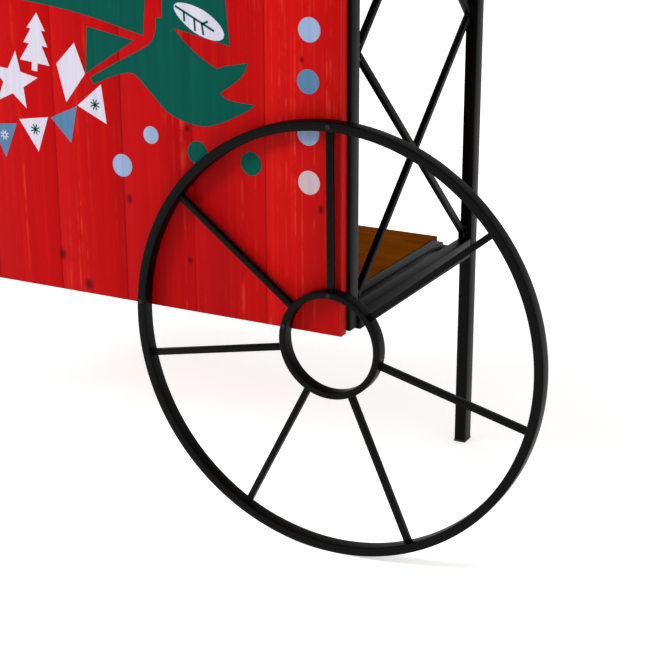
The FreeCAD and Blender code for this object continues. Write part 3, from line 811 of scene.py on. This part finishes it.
def motifs():
    """The banner with its ribbon, folds, ends and leaves."""
    banner = smooth_outline(
        ((274, 388), (150, 414), (0, 426), (-150, 414), (-274, 388),
         (-292, 560), (-150, 590), (0, 600), (150, 590), (292, 560)), sharp=(0, 4, 5, 9))
    fold = [(180, 394), (258, 380), (175, 327)]
    end_block = [(305, 414), (323, 402), (412, 384), (398, 520), (309, 541)]
    painted("paint_banner", [banner], GREEN)
    painted("paint_ribbon", mirrored([ribbon_tail()]), GREEN)
    painted("paint_folds", mirrored([fold]), GREEN)
    painted("paint_banner_ends", mirrored([end_block]), GREEN)
    leaves, veins = [], []
    for x, z, degrees, half_long, half_wide, flip in LEAVES:
        leaves.append(leaf(x, z, degrees, half_long, half_wide))
        veins += leaf_veins(x, z, degrees, half_long, flip)
    painted("paint_leaves", mirrored(leaves), WHITE, 1)
    painted("paint_leaf_veins", mirrored(veins), GREEN, 2)


def white_shapes():
    """Plain festive shapes under the banner, along it and above it."""
    small = [
        turned(star(5, 44, 19), 47, 306, -8),
        turned(FIR, 90, 365, -6),
        turned(GEM, 148, 326, -12),
    ]
    painted("paint_white_shapes", mirrored(small), WHITE)
    on_banner = [turned(star(6, 46, 20), 0, 512, 0)]
    beside = [turned(FIR, 84, 506, -4, 1.25), turned(BELL, 164, 494, -8, 1.2)]
    beside.append(turned(star(5, 34, 15), 236, 476, -6))
    on_banner += mirrored(beside)
    painted("paint_banner_shapes", on_banner, WHITE, 1)
    crown = mirrored([turned(star(5, 30, 13), 92, 668, 10), turned(star(5, 24, 10), 190, 644, -8)])
    painted("paint_top_stars", crown + [turned(star(5, 40, 17), 0, 684, 0)], WHITE)


def pennants():
    """Blue and white pennants by turns, some with a little star."""
    blue, white = [], []
    blue_marks, white_marks = [], []
    for number, (left, right, tip) in enumerate(PENNANTS):
        middle = [sum(part) / 3 for part in zip(left, right, tip)]
        (blue if number % 2 == 0 else white).append([left, right, tip])
        if number == 0:
            blue_marks += flake(*middle, 7.5)
        elif number % 2:
            white_marks += flake(*middle, 8)
    painted("paint_blue_pennants", mirrored(blue), MID_BLUE)
    painted("paint_white_pennants", mirrored(white), WHITE)
    painted("paint_blue_flakes", mirrored(blue_marks), WHITE, 1)
    painted("paint_green_flakes", mirrored(white_marks), GREEN, 1)


DOT = 16.5
SMALL_DOT = 12.5
SMALL_DOT_PLACE = (281, 250)


def dots():
    """Round spots down both sides of the front and beside the ribbon."""
    light = [(532, 415), (530, 278), SMALL_DOT_PLACE, (231, 201), (532, 555), (530, 695)]
    middle = [(530, 347), (531, 625)]
    green = [(357, 233), (442, 227), (462, 560), (440, 640)]
    blush = [(531, 211), (531, 485), (470, 480), (380, 610)]
    groups = (("light_blue", light, LIGHT_BLUE), ("mid_blue", middle, MID_BLUE),
              ("green", green, GREEN), ("blush", blush, BLUSH))
    for name, places, material in groups:
        sizes = [SMALL_DOT if place == SMALL_DOT_PLACE else DOT for place in places]
        outlines = [disc(*place, size) for place, size in zip(places, sizes)]
        painted(f"paint_{name}_dots", mirrored(outlines), material)


motifs()
white_shapes()
pennants()
dots()


# ------------------------------------------------------------------ canopy cloth

CLOTH = 1.2 * MM
COVER_LOW, COVER_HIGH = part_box("canopy_cover")
EAVE_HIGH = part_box("canopy_eave_rails")[1]
HEM_Z = COVER_LOW.z + 1 * MM
EAVE_Z = EAVE_HIGH.z + 1.6 * MM
RIDGE_Z = COVER_HIGH.z - 2 * MM
EAVE_Y = COVER_HIGH.y - 1 * MM
CLOTH_X = COVER_HIGH.x - 1 * MM
SCALLOPS = 11
END_SCALLOPS = 5
SCALLOP_DEEP = 26 * MM
SAG = 9 * MM
WANDER = 3.2 * MM
COVER_COLUMNS, SLOPE_ROWS, DROP_ROWS = 264, 26, 14
END_COLUMNS, END_ROWS = 120, 34
CLOTH_SMOOTH = 60


def scallop(share, count):
    """How far the hem rises at a place along it: nothing at mid-scallop, most between two."""
    return SCALLOP_DEEP * (1 - math.sqrt(max(0.0, 1 - (2 * ((share * count) % 1) - 1) ** 2)))


def ripple(x, y, drop):
    """Sideways wander of a hanging valance, growing towards its hem."""
    broad = noise.noise(Vector((7.5 * x, 7.5 * y, 1.3)))
    fine = noise.noise(Vector((21 * x, 21 * y, 4.1)))
    return WANDER * drop * (broad + 0.5 * fine)


def slope_point(share, x_share):
    """A point of the sloping cloth; share runs from the eave at 0 to the ridge at 1."""
    y = EAVE_Y * (1 - share)
    z = EAVE_Z + (RIDGE_Z - EAVE_Z) * share
    belly = math.sin(math.pi * share) ** 1.3
    bays = 0.72 + 0.28 * math.cos(4 * math.pi * x_share)
    return y, z - SAG * belly * (1.15 - 0.15 * bays)


def canopy_cover():
    """One cloth over the ridge, with a scalloped valance hanging at each eave."""
    mesh = bmesh.new()
    drops = [("drop", 1 - step / DROP_ROWS) for step in range(DROP_ROWS)]
    slopes = [("slope", step / SLOPE_ROWS) for step in range(SLOPE_ROWS)]
    rows = [(-1, kind, share) for kind, share in drops + slopes + [("slope", 1.0)]]
    rows += [(1, kind, share) for kind, share in reversed(drops + slopes)]
    grid = []
    for end, kind, share in rows:
        line = []
        for column in range(COVER_COLUMNS + 1):
            x_share = column / COVER_COLUMNS
            x = CLOTH_X * (2 * x_share - 1)
            if kind == "slope":
                y, z = slope_point(share, x_share)
            else:
                fall = EAVE_Z - HEM_Z - scallop(x_share, SCALLOPS)
                y = EAVE_Y + min(0, ripple(x, end, share)) - 0.4 * MM
                z = EAVE_Z - fall * share
            line.append(mesh.verts.new((x, end * y, z)))
        grid.append(line)
    bridge(mesh, grid, around=False)
    cover = piece(
        "canopy_cover_cloth", mesh, CANVAS, ["canopy_cover"], smooth=CLOTH_SMOOTH)
    thicken(cover)
    return cover


def thicken(item):
    """Give the cloth its thickness, half of it to each side of its surface."""
    modifier = item.modifiers.new("cloth_thickness", "SOLIDIFY")
    modifier.thickness = CLOTH
    modifier.offset = 0


def canopy_end(side, sign):
    """The gable cloth of one end, down to its own scalloped valance."""
    x = sign * (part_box("canopy_ends")[1].x - 1.5 * MM)
    half = EAVE_Y - 1.5 * MM
    mesh = bmesh.new()
    grid = []
    for row in range(END_ROWS + 1):
        share = row / END_ROWS
        line = []
        for column in range(END_COLUMNS + 1):
            across = column / END_COLUMNS
            y = half * (2 * across - 1)
            peak = 1 - abs(2 * across - 1)
            top = slope_point(peak, 0.0)[1] - 1.5 * MM
            bottom = HEM_Z + scallop(across, END_SCALLOPS)
            z = top + (bottom - top) * share
            drop = max(0.0, (EAVE_Z - z) / (EAVE_Z - HEM_Z))
            line.append(mesh.verts.new((x - sign * abs(ripple(y, 3 + sign, drop)), y, z)))
        grid.append(line)
    bridge(mesh, grid, around=False)
    name = f"canopy_end_{side}"
    end = piece(name, mesh, RED_CANVAS, ["canopy_ends"], smooth=CLOTH_SMOOTH)
    thicken(end)
    return end


cover = canopy_cover()
ends = [canopy_end(side, sign) for side, sign in SIDES.items()]


# ------------------------------------------------------------------ carried-over CAD nodes

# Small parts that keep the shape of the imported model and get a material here.
CARRIED = {
    "canopy_post_sleeves": BLACK, "shelf_bearers": BLACK, "rear_feet": PLASTIC,
    "wheel_bolts": BOLT_BLACK, "wheel_bolt_inserts": ZINC, "panel_screws": ZINC,
    "counter_screws": ZINC, "shelf_screws": ZINC, "sleeve_screws": BOLT_BLACK,
}


for name, material in CARRIED.items():
    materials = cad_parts[name].data.materials
    materials.clear()
    materials.append(material)


# ------------------------------------------------------------------ stage, light and camera

# Metres, watts, degrees, and for the lens and sensor mm.
FLOOR_HALF = 60
FLOOR_GLOW = 0.5
SKY_GLOW = 0.65
KEY_PLACE, KEY_TARGET = (-4.0, -3.8, 3.7), (0.3, -0.2, 0.5)
KEY_WIDE, KEY_POWER = 2.0, 520
CAMERA_PLACE = (1.5461, -2.1321, 1.0788)
CAMERA_TILT, CAMERA_TURN = 70.777, 27.584
SENSOR, LENS = 36, 91.64


def floor():
    """A plain pale floor that glows a little, so that shadows on it stay faint."""
    mesh = bmesh.new()
    bmesh.ops.create_grid(mesh, x_segments=1, y_segments=1, size=FLOOR_HALF)
    data = bpy.data.meshes.new("studio_floor")
    mesh.to_mesh(data)
    mesh.free()
    item = bpy.data.objects.new("studio_floor", data)
    bpy.context.scene.collection.objects.link(item)
    g = Graph("pale_floor")
    tone = g.noise((1.5, 1.5, 1.5), detail=2)
    g.set("Base Color", g.mix(tone, (0.90, 0.90, 0.90), (0.92, 0.92, 0.92)))
    g.set("Roughness", 0.9)
    g.set("Specular IOR Level", 0.05)
    g.set("Emission Color", (1, 1, 1, 1))
    g.set("Emission Strength", FLOOR_GLOW)
    data.materials.append(g.material)


def studio():
    """Even white surroundings and one large soft light from the front left."""
    world = bpy.data.worlds.new("soft_white")
    bpy.context.scene.world = world
    world.use_nodes = True
    background = world.node_tree.nodes["Background"]
    background.inputs["Color"].default_value = (1, 1, 1, 1)
    background.inputs["Strength"].default_value = SKY_GLOW
    data = bpy.data.lights.new("key", "AREA")
    data.shape = "RECTANGLE"
    data.size = data.size_y = KEY_WIDE
    data.energy = KEY_POWER
    item = bpy.data.objects.new("key", data)
    item.location = KEY_PLACE
    aim = Vector(KEY_TARGET) - Vector(KEY_PLACE)
    item.rotation_euler = aim.to_track_quat("-Z", "Y").to_euler()
    item.visible_glossy = False
    bpy.context.scene.collection.objects.link(item)
    bpy.context.scene.view_settings.view_transform = "Standard"


def camera():
    """A long lens a little over a metre up, looking down at the cart's lower right corner."""
    data = bpy.data.cameras.new("camera")
    data.sensor_width = SENSOR
    data.lens = LENS
    item = bpy.data.objects.new("camera", data)
    item.location = CAMERA_PLACE
    item.rotation_euler = (math.radians(CAMERA_TILT), 0, math.radians(CAMERA_TURN))
    bpy.context.scene.collection.objects.link(item)
    bpy.context.scene.camera = item


floor()
studio()
camera()
